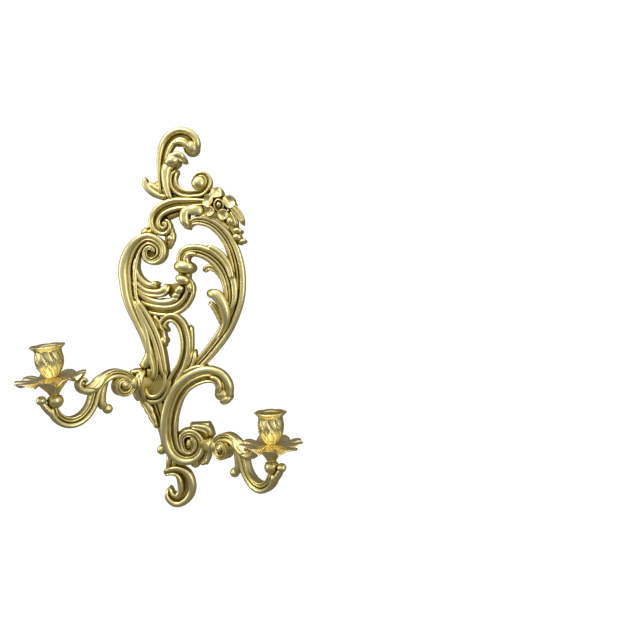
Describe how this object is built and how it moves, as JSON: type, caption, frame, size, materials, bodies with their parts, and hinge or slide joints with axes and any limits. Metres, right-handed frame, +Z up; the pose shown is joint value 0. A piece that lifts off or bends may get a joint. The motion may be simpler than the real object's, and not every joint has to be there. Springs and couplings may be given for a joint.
{
  "type": "wall sconce candle holder",
  "caption": "Rococo cast-brass wall sconce: openwork scroll back plate with curved scroll arms, leafy drip pans and tulip candle cups.",
  "frame": {"origin": "on the wall, at the rear face of the hanger plate beside its keyhole", "axes": "+Z up, +Y into the wall, -Y out to the front, +X to the right seen from the front"},
  "size_m": [0.2924, 0.1191, 0.436],
  "materials": {
    "brass": "cast, polished on the high parts, dark in the recesses",
    "pale_brass": "cast, satin polish, slightly paler",
    "steel": "plain fastener steel, dulled"
  },
  "bodies": {
    "wall_plate": {"back_plate": "brass", "hanger_plate": "steel", "hanger_screw_left": "steel", "hanger_screw_right": "steel", "left_arm_washer": "steel", "right_arm_washer": "steel"},
    "left_arm_unit": {"left_arm": "brass", "left_arm_bolt": "steel", "left_stud": "steel", "left_calyx": "brass"},
    "left_pan": {"left_drip_pan": "pale_brass"},
    "left_cup": {"left_candle_cup": "brass"},
    "right_arm_unit": {"right_arm": "brass", "right_arm_bolt": "steel", "right_stud": "steel", "right_calyx": "brass"},
    "right_pan": {"right_drip_pan": "pale_brass"},
    "right_cup": {"right_candle_cup": "brass"}
  },
  "joints": [
    {"name": "left_arm_turn", "type": "hinge", "parent": "wall_plate", "child": "left_arm_unit", "pos_m": [-0.051, -0.025, -0.212], "axis": [-0.7314, -0.682, 0], "range_deg": [-12, 12]},
    {"name": "left_pan_turn", "type": "hinge", "parent": "left_arm_unit", "child": "left_pan", "pos_m": [-0.11538, -0.08503, -0.19854], "axis": [-0.0828, -0.0772, 0.9936], "continuous": true},
    {"name": "left_cup_turn", "type": "hinge", "parent": "left_arm_unit", "child": "left_cup", "pos_m": [-0.11623, -0.08583, -0.18831], "axis": [-0.0828, -0.0772, 0.9936], "continuous": true},
    {"name": "right_arm_turn", "type": "hinge", "parent": "wall_plate", "child": "right_arm_unit", "pos_m": [0.04, -0.025, -0.284], "axis": [0.809, -0.5878, 0], "range_deg": [-12, 12]},
    {"name": "right_pan_turn", "type": "hinge", "parent": "right_arm_unit", "child": "right_pan", "pos_m": [0.1087, -0.07491, -0.27041], "axis": [-0.0212, 0.0154, 0.9997], "continuous": true},
    {"name": "right_cup_turn", "type": "hinge", "parent": "right_arm_unit", "child": "right_cup", "pos_m": [0.10848, -0.07475, -0.26011], "axis": [-0.0212, 0.0154, 0.9997], "continuous": true}
  ]
}
